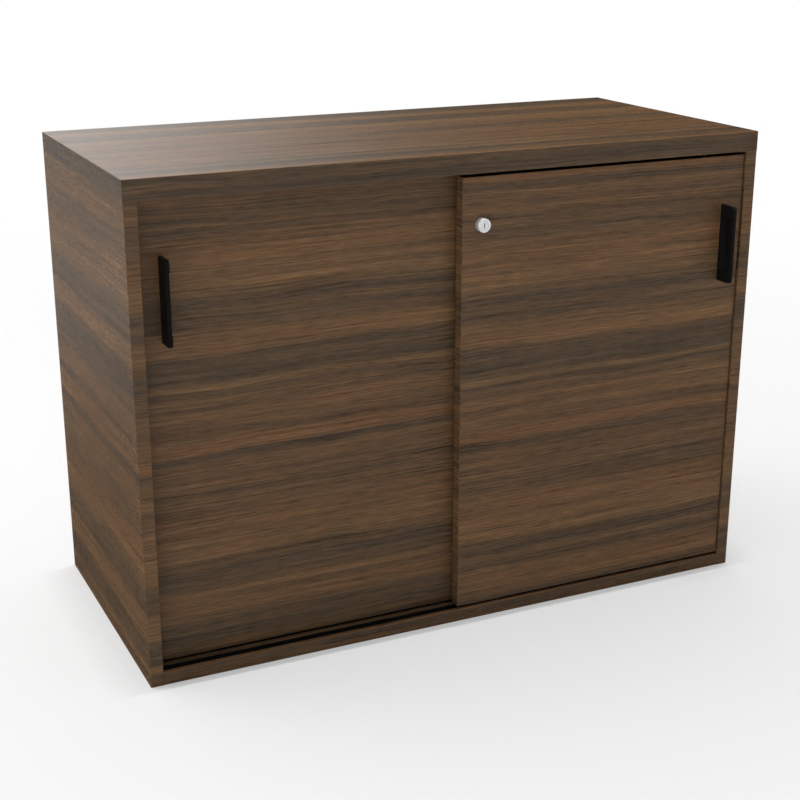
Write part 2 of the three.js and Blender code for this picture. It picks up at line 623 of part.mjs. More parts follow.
function lockStrike() {
  const hole = BOLT_R + STRIKE_HOLE_GAP;
  const profile = [
    [hole, -STRIKE_PROUD], [STRIKE_R - STRIKE_EDGE, -STRIKE_PROUD],
    [STRIKE_R, STRIKE_EDGE - STRIKE_PROUD], [STRIKE_R, 0],
    [STRIKE_SPIGOT_R, 0], [STRIKE_SPIGOT_R, STRIKE_SPIGOT_L], [hole, STRIKE_SPIGOT_L], [hole, -STRIKE_PROUD],
  ];
  return piece('lock_strike', turned(profile, Y, MID_SIDES), 'zinc');
}

function frontDoor() {
  const mouth = rod(PLUNGER_R + RUN, LOCK_FROM_EDGE, -OVER, LOCK_Z, Y, DOOR_T, LARGE_SIDES);
  const seatY = BARREL_SINK - FIT;
  const seat = rod(BARREL_R + FIT, LOCK_FROM_EDGE, seatY, LOCK_Z, Y, DOOR_T + OVER - seatY, LARGE_SIDES);
  const lock = [lockBarrel(), lockPlunger(), lockBolt(), lockPlug()];
  for (const mesh of lock) placed(mesh, LOCK_FROM_EDGE, 0, LOCK_Z);
  const group = door('front_door', FRONT_DOOR_W, FRONT_DOOR_W - HANDLE_INSET, -1, [mouth, seat], lock);
  group.position.set(FRONT_DOOR_X, FRONT_DOOR_Y, DOOR_Z);
  return group;
}

function rearDoor() {
  const strikeX = LOCK_X - REAR_DOOR_X;
  const seat = rod(STRIKE_SPIGOT_R + FIT, strikeX, -OVER, LOCK_Z, Y, OVER + STRIKE_SPIGOT_L + FIT, MID_SIDES);
  const strike = placed(lockStrike(), strikeX, 0, LOCK_Z);
  const group = door('rear_door', REAR_DOOR_W, HANDLE_INSET, 1, [seat], [strike]);
  group.position.set(REAR_DOOR_X, REAR_DOOR_Y, DOOR_Z);
  return group;
}

// Assembly

const carcass = new THREE.Group();
carcass.add(topPanel(), bottomPanel(), sidePanel('left_side_panel', -1), sidePanel('right_side_panel', 1));
carcass.add(backPanel(), shelf(), ...camFittings());
for (const [label, side] of [['left', -1], ['right', 1]]) {
  carcass.add(shelfPin(`shelf_pin_${label}_front`, side, PIN_YS[0]));
  carcass.add(shelfPin(`shelf_pin_${label}_back`, side, PIN_YS[1]));
}
['front', 'rear'].forEach((label, i) => {
  carcass.add(track(`lower_track_${label}`, TRACK_YS[i], BOTTOM_T, 1));
  carcass.add(track(`upper_track_${label}`, TRACK_YS[i], CEILING_Z, -1));
});

const credenza = new THREE.Group();
credenza.add(carcass, frontDoor(), rearDoor());

export default credenza;
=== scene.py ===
# %% [markdown]
# An office credenza: a low cabinet of dark walnut laminate with two sliding doors, black fin handles and a
# push lock. It could all be modelled here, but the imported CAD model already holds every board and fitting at
# its real size. So this script loads that model as a fixed frame and only adds finishes, finer handles and a
# finer lock, a studio and a camera.

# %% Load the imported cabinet
import math
import bmesh
import bpy
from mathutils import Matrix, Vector


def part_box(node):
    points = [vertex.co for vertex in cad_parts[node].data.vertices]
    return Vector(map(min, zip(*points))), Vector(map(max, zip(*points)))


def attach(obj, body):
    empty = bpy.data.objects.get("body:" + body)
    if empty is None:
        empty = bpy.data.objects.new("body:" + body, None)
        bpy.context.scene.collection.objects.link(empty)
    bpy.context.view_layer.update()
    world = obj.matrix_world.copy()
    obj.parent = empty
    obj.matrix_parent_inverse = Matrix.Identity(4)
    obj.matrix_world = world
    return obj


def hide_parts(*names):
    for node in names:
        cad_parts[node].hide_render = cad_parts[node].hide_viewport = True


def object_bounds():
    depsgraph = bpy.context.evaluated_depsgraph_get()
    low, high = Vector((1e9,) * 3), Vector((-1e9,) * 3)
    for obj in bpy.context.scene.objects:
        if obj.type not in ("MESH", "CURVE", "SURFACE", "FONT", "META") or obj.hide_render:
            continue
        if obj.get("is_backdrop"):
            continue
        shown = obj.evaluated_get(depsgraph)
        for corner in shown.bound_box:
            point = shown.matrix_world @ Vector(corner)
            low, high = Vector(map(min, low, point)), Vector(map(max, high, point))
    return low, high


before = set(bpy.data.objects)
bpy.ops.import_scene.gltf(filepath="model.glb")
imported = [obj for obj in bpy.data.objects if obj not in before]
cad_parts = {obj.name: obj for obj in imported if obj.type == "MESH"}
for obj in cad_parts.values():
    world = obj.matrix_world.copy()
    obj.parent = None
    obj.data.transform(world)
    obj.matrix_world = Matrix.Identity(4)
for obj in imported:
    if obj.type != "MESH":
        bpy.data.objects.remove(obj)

MM = 0.001
cad_low, cad_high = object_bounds()
scene = bpy.context.scene
print("cabinet loaded:", len(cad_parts), "pieces, box", [round(v, 3) for v in cad_high - cad_low])

# %% [markdown]
# The camera stands in front of the left corner, a little above the top board. It could be placed by eye, but
# then no edge would quite agree. Its place, turn and lens were solved from the cabinet's own corners in the
# photograph instead, so the perspective of every edge agrees with it.

# %% Camera
CAMERA_PLACE = (-0.97603, -2.0795, 1.06125)
CAMERA_TURN = (71.478, 0.0, -25.115)
CAMERA_LENS = 66.90
SENSOR_WIDTH = 36

camera = bpy.data.objects.new("camera", bpy.data.cameras.new("camera"))
camera.location = CAMERA_PLACE
camera.rotation_euler = [math.radians(angle) for angle in CAMERA_TURN]
camera.data.lens = CAMERA_LENS
camera.data.sensor_width = SENSOR_WIDTH
scene.collection.objects.link(camera)
scene.camera = camera
print("camera looks down by", round(90 - CAMERA_TURN[0], 1), "degrees")

# %% [markdown]
# The studio and every finish below are small graphs of shader nodes. Written out in full, such a graph takes
# a page of lines, so short helpers keep it readable. The first places a node and fills its sockets. The
# others do arithmetic with numbers and vectors, ease from one value to another and mix two colours.

# %% Helpers for shader nodes
def put(tree, kind, sockets=(), **settings):
    """Place one shader node; a socket takes a value or another node's output."""
    node = tree.nodes.new("ShaderNode" + kind)
    for name, value in settings.items():
        setattr(node, name, value)
    for socket, value in dict(sockets).items():
        if isinstance(value, bpy.types.NodeSocket):
            tree.links.new(value, node.inputs[socket])
        else:
            node.inputs[socket].default_value = value
    return node


def sums(tree, operation, first, second=0.0, third=0.0):
    return put(tree, "Math", {0: first, 1: second, 2: third}, operation=operation).outputs[0]


def vector_sums(tree, operation, first, second=(0.0, 0.0, 0.0)):
    return put(tree, "VectorMath", {0: first, 1: second}, operation=operation).outputs


def parts_of(tree, vector):
    return put(tree, "SeparateXYZ", {0: vector}).outputs


def remap(tree, value, low, high, to_low=0.0, to_high=1.0):
    """Ease from one value to another while the input goes from low to high."""
    sockets = {0: value, 1: low, 2: high, 3: to_low, 4: to_high}
    return put(tree, "MapRange", sockets, interpolation_type="SMOOTHSTEP").outputs[0]


def blend(tree, share, first, second, blend_type="MIX"):
    node = put(tree, "Mix", {0: share, 6: first, 7: second}, data_type="RGBA", blend_type=blend_type)
    return node.outputs[2]


print("shader helpers ready")

# %% [markdown]
# The studio floor is pale and fades into a white background. With its own colour alone that background would
# be grey, so the camera sees it mixed with plain white, and the mix leaves enough of the real floor to carry
# the soft shadow. Mirror-like finishes see a dimmer floor near the cabinet and in front of it, and a brighter
# one far away, so that the sheen fades down the left side.

# %% Finish of the floor
FLOOR_COLOUR = (0.90, 0.90, 0.90, 1.0)   # as it lights the cabinet
FLOOR_SEEN = (0.615, 0.615, 0.615, 1.0)  # as the camera sees it, before white is mixed in
WHITE = (1.0, 1.0, 1.0, 1.0)
FLOOR_FADE = (1.0, 3.2)      # metres from the middle over which the floor turns white
FLOOR_WHITE = (0.31, 1.0)    # share of plain white at those two distances
MIRROR_FADE = (0.4, 2.4)     # metres from the middle over which the mirrored floor brightens
MIRROR_TONE = (0.03, 0.225)  # its strength at those two distances
MIRROR_FRONT = (-0.8, 0.2)   # y over which the mirrored floor changes from front to back
MIRROR_SHARE = (0.45, 1.0)   # share of its strength that is left there


def floor_material():
    material = bpy.data.materials.new("pale studio floor")
    material.use_nodes = True
    tree = material.node_tree
    tree.nodes.clear()
    place = put(tree, "TexCoord").outputs["Object"]
    far = vector_sums(tree, "LENGTH", place)["Value"]
    rays = put(tree, "LightPath").outputs
    by_eye = sums(tree, "MAXIMUM", rays["Is Camera Ray"], rays["Is Transmission Ray"])
    share = sums(tree, "MULTIPLY", remap(tree, far, *FLOOR_FADE, *FLOOR_WHITE), by_eye)
    pale = put(tree, "BsdfDiffuse", {"Color": blend(tree, by_eye, FLOOR_COLOUR, FLOOR_SEEN)}).outputs[0]
    white = put(tree, "Emission", {"Color": WHITE, "Strength": 1.0}).outputs[0]
    seen = put(tree, "MixShader", {0: share, 1: pale, 2: white}).outputs[0]
    tone = remap(tree, far, *MIRROR_FADE, *MIRROR_TONE)
    front = remap(tree, parts_of(tree, place)["Y"], *MIRROR_FRONT, *MIRROR_SHARE)
    tone = sums(tree, "MULTIPLY", tone, front)
    mirrored = put(tree, "Emission", {"Color": WHITE, "Strength": tone}).outputs[0]
    mixed = put(tree, "MixShader", {0: rays["Is Glossy Ray"], 1: seen, 2: mirrored}).outputs[0]
    put(tree, "OutputMaterial", {"Surface": mixed})
    return material


PALE_FLOOR = floor_material()
print("floor finish:", PALE_FLOOR.name)

# %% [markdown]
# The floor itself is a flat disc that lies just under the cabinet. A curved backdrop would hide the horizon
# too, but the fade to white already does that, and a flat floor can't bend a reflection.

# %% Studio floor
FLOOR_RADIUS = 9.0
FLOOR_SEGMENTS = 96
FLOOR_DROP = 0.3 * MM        # just under the cabinet, so the two faces don't fight


def studio_floor():
    shape = bmesh.new()
    bmesh.ops.create_circle(shape, cap_ends=True, segments=FLOOR_SEGMENTS, radius=FLOOR_RADIUS)
    mesh = bpy.data.meshes.new("studio_floor")
    shape.to_mesh(mesh)
    shape.free()
    mesh.materials.append(PALE_FLOOR)
    floor = bpy.data.objects.new("studio_floor", mesh)
    floor.location.z = cad_low.z - FLOOR_DROP
    scene.collection.objects.link(floor)
    floor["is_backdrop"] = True
    return floor


studio_floor()
print("floor at z", cad_low.z - FLOOR_DROP)

# %% [markdown]
# The sky is brightest overhead, a little behind and to the left, and dim near the floor, as a large
# overhead diffuser is. Mirror-like finishes see another sky: bright straight behind the cabinet, dim
# elsewhere, and black where a dark flag stands behind the right-hand end. So the sheen lies on the left of
# the top board and the rest of the top keeps its colour. Lamps placed to mirror there would work too, but
# they would also change the light on every other face.

# %% Studio sky
SKY_LOW = 0.06                           # strength away from the sky's middle
SKY_HIGH = 1.9                           # strength there
SKY_FALL = 2.0                           # power of the cosine from the sky's middle
SKY_MIDDLE = (-0.2, 0.28, 0.939)         # overhead, a little behind and to the left
FLAG_DIRECTION = (0.743, 0.669, 0.0)     # behind the right-hand end
FLAG_EDGE = (0.765, 0.935)               # cosine from the flag's middle where it starts and is full
FLAG_TONE = 0.0
SKY_BEHIND = (0.60, 0.88)                # y of a mirrored direction over which the sky turns bright
SKY_MIRRORED = (0.35, 1.0)               # mirrored sky elsewhere, and straight behind the cabinet


def studio_sky():
    world = bpy.data.worlds.new("studio sky")
    world.use_nodes = True
    tree = world.node_tree
    tree.nodes.clear()
    towards = put(tree, "TexCoord").outputs["Generated"]
    beside = vector_sums(tree, "DOT_PRODUCT", towards, FLAG_DIRECTION)["Value"]
    behind = remap(tree, parts_of(tree, towards)["Y"], *SKY_BEHIND, *SKY_MIRRORED)
    shade = sums(tree, "MULTIPLY", remap(tree, beside, *FLAG_EDGE, 1.0, FLAG_TONE), behind)
    mirrored = put(tree, "Background", {"Color": shade}).outputs[0]
    upward = vector_sums(tree, "DOT_PRODUCT", towards, SKY_MIDDLE)["Value"]
    upward = sums(tree, "POWER", sums(tree, "MAXIMUM", upward, 0.0), SKY_FALL)
    strength = sums(tree, "MULTIPLY_ADD", upward, SKY_HIGH - SKY_LOW, SKY_LOW)
    light = put(tree, "Background", {"Color": WHITE, "Strength": strength}).outputs[0]
    seen = put(tree, "Background", {"Color": WHITE, "Strength": 1.0}).outputs[0]
    rays = put(tree, "LightPath").outputs
    lit = put(tree, "MixShader", {0: rays["Is Glossy Ray"], 1: light, 2: mirrored}).outputs[0]
    shown = put(tree, "MixShader", {0: rays["Is Camera Ray"], 1: lit, 2: seen}).outputs[0]
    put(tree, "OutputWorld", {"Surface": shown})
    scene.world = world


studio_sky()
scene.view_settings.view_transform = "Standard"
print("sky strength from", SKY_LOW, "to", SKY_HIGH)

# %% [markdown]
# A large softbox behind the left end lights the left side. It is hidden from reflections, because seen from
# the right it would show as a white patch on the top. A row of lamps shines almost straight down from just
# behind the front, which leaves a thin, clean shadow on the floor before it. One lamp would do for that
# shadow, but it would also draw the handles on the floor. The row is fanned out sideways, so their narrow
# shadows melt away, and the floor's bounce lights the doors.

# %% Lamps
SOFTBOX_PLACE = Vector((-2.4, 1.4, 1.6))
SOFTBOX_AIM = Vector((0.0, 0.0, 0.4))
SOFTBOX_SIDE = 1.8
SOFTBOX_WATTS = 18
OVERHEAD_STRENGTH = 1.70                 # of the whole row
OVERHEAD_TILT = math.radians(-1.0)       # from just behind the front
OVERHEAD_SPREAD = math.radians(0.5)
OVERHEAD_COUNT = 7
OVERHEAD_STEP = math.radians(1.5)        # sideways turn from one lamp to the next


def lamp(name, kind, **settings):
    light = bpy.data.lights.new(name, kind)
    for setting, value in settings.items():
        setattr(light, setting, value)
    holder = bpy.data.objects.new(name, light)
    scene.collection.objects.link(holder)
    return holder


softbox = lamp("softbox", "AREA", size=SOFTBOX_SIDE, energy=SOFTBOX_WATTS)
softbox.location = SOFTBOX_PLACE
softbox.rotation_euler = (SOFTBOX_AIM - SOFTBOX_PLACE).to_track_quat("-Z", "Y").to_euler()
softbox.visible_glossy = False
for index in range(OVERHEAD_COUNT):
    strength = OVERHEAD_STRENGTH / OVERHEAD_COUNT
    overhead = lamp("overhead lamp", "SUN", energy=strength, angle=OVERHEAD_SPREAD)
    turn = (index - (OVERHEAD_COUNT - 1) / 2) * OVERHEAD_STEP
    overhead.rotation_euler = (OVERHEAD_TILT, turn, 0.0)
print("softbox of", SOFTBOX_WATTS, "W and", OVERHEAD_COUNT, "overhead lamps")

# %% [markdown]
# Every real finish varies over its surface. Painting that by hand would take days, while noise gives it on
# any piece and at any distance. These helpers stretch a noise along the grain, let it sway about a middle
# value and read a colour from a ramp.

# %% Helpers for noise
def plain_noise(tree, place, scale, detail, roughness=0.5):
    sockets = {"Vector": place, "Scale": scale, "Detail": detail, "Roughness": roughness}
    return put(tree, "TexNoise", sockets).outputs[0]


def stretched_noise(tree, place, spots, detail, roughness=0.5):
    """Noise with its own count of spots per metre along each axis."""
    return plain_noise(tree, vector_sums(tree, "MULTIPLY", place, spots)[0], 1.0, detail, roughness)


def sway(tree, noise, amount, middle=0.0):
    """Turn a noise between 0 and 1 into one that sways about a middle value."""
    return sums(tree, "MULTIPLY_ADD", noise, amount, middle - amount / 2)


def tone_ramp(tree, value, stops):
    """A colour ramp with straight steps from (position, grey or colour) stops."""
    node = put(tree, "ValToRGB", {0: value})
    ramp = node.color_ramp
    ramp.interpolation = "LINEAR"
    for index, (position, tone) in enumerate(stops):
        stop = ramp.elements[index] if index < 2 else ramp.elements.new(position)
        stop.position = position
        stop.color = (*tone, 1.0) if isinstance(tone, tuple) else (tone, tone, tone, 1.0)
    return node.outputs[0]


print("noise helpers ready")

# %% [markdown]
# A finish that several materials share is a node group, built once and placed in each of them. The other way
# is to copy its nodes into every material, where a later change is soon forgotten. All groups put out the
# same three things: a colour, a roughness and a height for the bump.

# %% Helpers for shared finishes
FINISH_GIVES = {"Colour": "Color", "Roughness": "Float", "Height": "Float"}


def start_group(name, takes):
    """An empty node group for a finish; returns its tree and what it is given."""
    tree = bpy.data.node_groups.new(name, "ShaderNodeTree")
    for label, kind in takes.items():
        tree.interface.new_socket(label, in_out="INPUT", socket_type="NodeSocket" + kind)
    for label, kind in FINISH_GIVES.items():
        tree.interface.new_socket(label, in_out="OUTPUT", socket_type="NodeSocket" + kind)
    return tree, tree.nodes.new("NodeGroupInput").outputs


def close_group(tree, colour, rough, height):
    result = tree.nodes.new("NodeGroupOutput").inputs
    for label, made in zip(FINISH_GIVES, (colour, rough, height)):
        tree.links.new(made, result[label])
    return tree


print("each finish gives", ", ".join(FINISH_GIVES))

# %% [markdown]
# The boards wear a printed walnut decor. A picture of wood would be the quick way, but this one is made from
# noise, so that it never blurs and each board can show another part of it. Its grain runs level on every
# face, front to back on the sides, so the first function chooses "along" and "across" from the way a face
# looks. It also finds the small chamfers at the boards' edges, which are rubbed a little paler.

# %% Where a point lies on its board
FACES_AXIS = 0.6         # a face looks along an axis when its normal's share of it is over this
SIDE_SEED = 3.7
LEVEL_SEED = 8.3
FLAT_FACE = 0.85         # a chamfer's normal has no share over this


def grain_place(tree, shift, level_shift):
    """Where a point lies on its board: x along the grain, y across it, z a seed for each way of facing."""
    point = parts_of(tree, put(tree, "TexCoord").outputs["Object"])
    normal = put(tree, "NewGeometry").outputs["Normal"]
    facing = parts_of(tree, vector_sums(tree, "ABSOLUTE", normal)[0])
    sideways = sums(tree, "GREATER_THAN", facing["X"], FACES_AXIS)
    level = sums(tree, "GREATER_THAN", facing["Z"], FACES_AXIS)
    along = put(tree, "Mix", {0: sideways, 2: point["X"], 3: point["Y"]}).outputs[0]
    back_to_front = sums(tree, "SUBTRACT", level_shift, point["Y"])
    across = put(tree, "Mix", {0: level, 2: point["Z"], 3: back_to_front}).outputs[0]
    seed = sums(tree, "MULTIPLY_ADD", sideways, SIDE_SEED, sums(tree, "MULTIPLY", level, LEVEL_SEED))
    place = put(tree, "CombineXYZ", {0: along, 1: across, 2: seed}).outputs[0]
    widest = sums(tree, "MAXIMUM", facing["X"], sums(tree, "MAXIMUM", facing["Y"], facing["Z"]))
    chamfer = sums(tree, "LESS_THAN", widest, FLAT_FACE)
    return vector_sums(tree, "ADD", place, shift)[0], chamfer


print("grain runs along x on doors and top, along y on the sides")

# %% [markdown]
# No line of real grain is ruler-straight. Bending it with one strong noise would make waves that all look
# alike, so two noises share the work: a slow drift over the length of a door, and a quicker waver on top of
# it. Both move the grain across the board by a few millimetres.

# %% Grain that wanders
DRIFT = {"spots": (1.2, 3.0, 1.0), "detail": 1.0}    # spots per metre along and across, and per unit of seed
WAVER = {"spots": (6.0, 16.0, 1.0), "detail": 1.0}
DRIFT_REACH = 12 * MM
WAVER_REACH = 10 * MM


def wandering_place(tree, place):
    """Move the grain up and down across the board; returns the moved place and the slow drift."""
    drift = stretched_noise(tree, place, **DRIFT)
    waver = stretched_noise(tree, place, **WAVER)
    lift = sums(tree, "ADD", sway(tree, drift, DRIFT_REACH), sway(tree, waver, WAVER_REACH))
    upward = put(tree, "CombineXYZ", {1: lift}).outputs[0]
    return vector_sums(tree, "ADD", place, upward)[0], drift


print("grain wanders by up to", round((DRIFT_REACH + WAVER_REACH) / 2 / MM), "mm each way")

# %% [markdown]
# The decor's broad figure is a set of darker and lighter bands that repeats every 396 mm, as a printed roll
# does. Noise could give bands too, but none would lie where the real ones do, so they are listed one by one.
# Two ramps read the list: one gives a band's tone, the other how far it leans to red. A ramp holds values up
# to 1, so it keeps half of each tone.

# %% Bands of the decor
FIGURE_REPEAT = 396 * MM
FIGURE_CONTRAST = 0.9
BANDS = [        # millimetres across the grain from and to, tone (1 is the mean), share of red
    (0, 15, 1.05, 0.42), (19, 27, 0.82, 0.30), (30, 36, 1.13, 0.25), (39, 70, 0.77, 0.20),
    (88, 98, 1.22, 0.62), (104, 118, 1.07, 0.47), (122, 131, 0.79, 0.30), (134, 142, 0.95, 0.22),
    (145, 152, 0.75, 0.25), (172, 186, 1.22, 0.40), (216, 232, 1.10, 0.66), (250, 262, 0.91, 0.32),
    (284, 314, 1.00, 0.50), (319, 325, 0.75, 0.32), (331, 342, 1.11, 0.95), (352, 390, 1.01, 0.55),
]


def band_ramp(tree, repeat, values):
    """A ramp over one repeat of the decor that holds each band's value from its start to its end."""
    stops = []
    for (start, end, _, _), value in zip(BANDS, values):
        stops += [(start * MM / FIGURE_REPEAT, value), (end * MM / FIGURE_REPEAT, value)]
    return tone_ramp(tree, repeat, stops)


def band_tone(tree, repeat):
    half = band_ramp(tree, repeat, [tone / 2 for _, _, tone, _ in BANDS])
    return sums(tree, "MULTIPLY_ADD", half, 2 * FIGURE_CONTRAST, 1 - FIGURE_CONTRAST)


def band_warmth(tree, repeat):
    return band_ramp(tree, repeat, [red for _, _, _, red in BANDS])


print("decor of", len(BANDS), "bands over", round(FIGURE_REPEAT / MM), "mm")

# %% [markdown]
# Growth rings show as thin dark lines, and only here and there. A wave texture would give such lines, but
# evenly over the whole board. Here a count of rings runs across the grain, a streak noise pushes it about,
# and its fraction fades each line out on one side, as late wood does. Another noise says where rings show.

# %% Growth rings
RINGS_PER_METRE = 120.0
RING_WANDER = 4.0            # rings that a streak moves the lines by
RING_LINE = (0.0, 0.35)      # share of a ring over which its dark line fades
RING_PATCH = {"spots": (2.5, 14.0, 5.0), "detail": 1.0}
RING_EDGE = (0.42, 0.68)     # noise at which growth rings start to show and are full
RING_DEPTH = 0.3


def ring_lines(tree, place, across, streak):
    count = sums(tree, "MULTIPLY_ADD", across, RINGS_PER_METRE, sums(tree, "MULTIPLY", streak, RING_WANDER))
    line = remap(tree, sums(tree, "FRACT", count), *RING_LINE, 1.0, 0.0)
    patchy = remap(tree, stretched_noise(tree, place, **RING_PATCH), *RING_EDGE, 0.0, RING_DEPTH)
    return sums(tree, "MULTIPLY", line, patchy)


print("rings", round(1 / RINGS_PER_METRE / MM, 1), "mm apart")

# %% [markdown]
# Dark walnut is greyer than light walnut, so one brown made darker and lighter would look like plastic. A
# ramp turns tone into colour instead, and two tints pull the result to red or to olive.

# %% Colours of the wood
TONE_SPAN = (0.3, 1.7)
WALNUT_TONES = [     # tone, colour
    (0.30, (0.0353, 0.0255, 0.0216)),
    (0.75, (0.0960, 0.0608, 0.0363)),
    (1.00, (0.1372, 0.0799, 0.0395)),
    (1.25, (0.1744, 0.0995, 0.0451)),
    (1.70, (0.2450, 0.1357, 0.0578)),
]
RED_TINT = (1.12, 0.975, 0.92, 1.0)
OLIVE_TINT = (0.955, 1.02, 1.03, 1.0)


def wood_colour(tree, tone, hue):
    low, high = TONE_SPAN
    share = put(tree, "MapRange", {0: tone, 1: low, 2: high}).outputs[0]
    brown = tone_ramp(tree, share, [((at - low) / (high - low), colour) for at, colour in WALNUT_TONES])
    return blend(tree, 1.0, brown, blend(tree, hue, OLIVE_TINT, RED_TINT), "MULTIPLY")


print("walnut ramp of", len(WALNUT_TONES), "colours")

# %% [markdown]
# The print shows five kinds of mark. One noise could stand for them all, but each kind has its own length and
# width, so each has its own noise: long fibres, short flecks, broad streaks, short patches, and pores, which
# are cut off sharply to read as dashes.

# %% Marks in the wood
FIBRE = {"spots": (4.0, 420.0, 1.0), "detail": 3.0, "roughness": 0.6}
FLECK = {"spots": (40.0, 380.0, 1.0), "detail": 2.0}
STREAK = {"spots": (1.2, 90.0, 1.0), "detail": 2.0}
PATCH = {"spots": (14.0, 110.0, 2.0), "detail": 2.0}
PORE = {"spots": (38.0, 900.0, 3.0), "detail": 2.0}
PORE_EDGE = (0.60, 0.70)     # noise at which a pore starts and is full


def wood_marks(tree, place):
    """The noises of fibre, fleck, streak and patch, and a mask of the pores."""
    noises = [stretched_noise(tree, place, **mark) for mark in (FIBRE, FLECK, STREAK, PATCH)]
    pores = remap(tree, stretched_noise(tree, place, **PORE), *PORE_EDGE)
    return *noises, pores


print("spots per metre of grain:", [mark["spots"][0] for mark in (FIBRE, FLECK, STREAK, PATCH, PORE)])

# %% [markdown]
# The chamfers along the boards' edges are rubbed a little paler, more in some places than in others. A paler
# line of even strength would look drawn on, so the slow drift of the grain says how much a place is rubbed.

# %% Rubbed edges
RUBBED_TINT = (1.12, 1.11, 1.09, 1.0)
RUBBED_EDGE = (0.3, 0.7)     # drift over which the chamfers go from little to much rubbed
RUBBED_SHARE = (0.2, 0.9)


def rub_edges(tree, colour, chamfer, drift):
    rubbed = sums(tree, "MULTIPLY", chamfer, remap(tree, drift, *RUBBED_EDGE, *RUBBED_SHARE))
    return blend(tree, rubbed, colour, blend(tree, 1.0, colour, RUBBED_TINT, "MULTIPLY"))


print("chamfers up to", round((RUBBED_TINT[0] - 1) * RUBBED_SHARE[1] * 100), "percent paler")

# %% [markdown]
# The laminate itself joins all of this. Adding up all the marks would be shorter, but every mark would then
# shift the wood's hue. So streaks and patches change the tone of the bands, which the colours follow, while
# fibres, flecks and growth rings only scale the colour. Pores and rubbed chamfers come last. Fibres and pores
# also change the gloss and the bump, because such laminate is pressed with a fine pattern that follows its
# print.

# %% Walnut laminate
FIBRE_REACH = 6 * MM         # across the grain, to fray the bands' edges
FIBRE_CONTRAST, FLECK_CONTRAST, STREAK_CONTRAST, PATCH_CONTRAST = 1.5, 0.9, 0.95, 0.4
PATCH_WARMTH = 1.3
PORE_COLOUR = (0.016, 0.010, 0.007, 1.0)
PORE_SHARE = 0.4
ROUGH_EVEN, ROUGH_FIBRE, ROUGH_PORE = 0.19, 0.10, 0.12
FIBRE_HEIGHT = 0.4           # of a pore's depth


def walnut_laminate():
    tree, given = start_group("walnut laminate", {"Shift": "Vector", "Level shift": "Float"})
    place, chamfer = grain_place(tree, given["Shift"], given["Level shift"])
    place, drift = wandering_place(tree, place)
    fibre, fleck, streak, patch, pores = wood_marks(tree, place)
    across = sums(tree, "ADD", parts_of(tree, place)["Y"], sway(tree, fibre, FIBRE_REACH))
    repeat = sums(tree, "FRACT", sums(tree, "DIVIDE", across, FIGURE_REPEAT))

    tone = sums(tree, "MULTIPLY", band_tone(tree, repeat), sway(tree, streak, STREAK_CONTRAST, 1.0))
    tone = sums(tree, "MULTIPLY", tone, sway(tree, patch, PATCH_CONTRAST, 1.0))
    hue = sums(tree, "ADD", band_warmth(tree, repeat), sway(tree, patch, PATCH_WARMTH))
    fine = sums(tree, "ADD", sway(tree, fibre, FIBRE_CONTRAST, 1.0), sway(tree, fleck, FLECK_CONTRAST))
    fine = sums(tree, "SUBTRACT", fine, ring_lines(tree, place, across, streak))
    colour = wood_colour(tree, tone, hue)
    colour = put(tree, "VectorMath", {0: colour, "Scale": fine}, operation="SCALE").outputs[0]
    colour = blend(tree, sums(tree, "MULTIPLY", pores, PORE_SHARE), colour, PORE_COLOUR)
    colour = rub_edges(tree, colour, chamfer, drift)

    rough = sums(tree, "MULTIPLY_ADD", pores, ROUGH_PORE, ROUGH_EVEN)
    rough = sums(tree, "MULTIPLY_ADD", fibre, ROUGH_FIBRE, rough)
    height = sums(tree, "SUBTRACT", sums(tree, "MULTIPLY", fibre, FIBRE_HEIGHT), pores)
    return close_group(tree, colour, rough, height)


WALNUT = walnut_laminate()
print("walnut laminate group:", len(WALNUT.nodes), "nodes")

# %% [markdown]
# Every finish ends alike: a Principled shader takes its colour, gloss and bump from one placed group. The
# shader could sit inside the group too, but the export can't read it there, so it stays in the material. The
# second helper puts a material on CAD pieces.

# %% Helpers for materials
def finish(name, group, depth, values, specular):
    """A material whose colour, gloss and bump come from one placed node group."""
    material = bpy.data.materials.new(name)
    material.use_nodes = True
    tree = material.node_tree
    shader = tree.nodes["Principled BSDF"].inputs
    shader["Specular IOR Level"].default_value = specular
    placed = tree.nodes.new("ShaderNodeGroup")
    placed.node_tree = group
    for socket, value in values.items():
        placed.inputs[socket].default_value = value
    tree.links.new(placed.outputs["Colour"], shader["Base Color"])
    tree.links.new(placed.outputs["Roughness"], shader["Roughness"])
    bump = put(tree, "Bump", {"Strength": 1.0, "Distance": depth, "Height": placed.outputs["Height"]})
    tree.links.new(bump.outputs[0], shader["Normal"])
    return material


def dress(material, *nodes):
    """Give CAD pieces a finish without touching their shape."""
    for name in nodes:
        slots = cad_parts[name].data.materials
        slots.clear()
        slots.append(material)


print("material helpers ready")

# %% [markdown]
# Boards cut from one roll differ only in the part of the roll they show. One material could serve them all,
# but then every board would carry the same bands at the same height. So each has its own shift, which says
# which part it is cut from. The sides and the bottom share one, because their figure runs across the joints.
# On level faces the figure is counted from back to front, and a second shift says where it starts there.

# %% Walnut boards
LAMINATE_SPECULAR = 0.5
GRAIN_DEPTH = 0.05 * MM
LEVEL_SHIFT = -0.141         # of all boards but the top


def walnut_board(name, shift, level_shift=LEVEL_SHIFT):
    values = {"Shift": shift, "Level shift": level_shift}
    return finish(name, WALNUT, GRAIN_DEPTH, values, LAMINATE_SPECULAR)


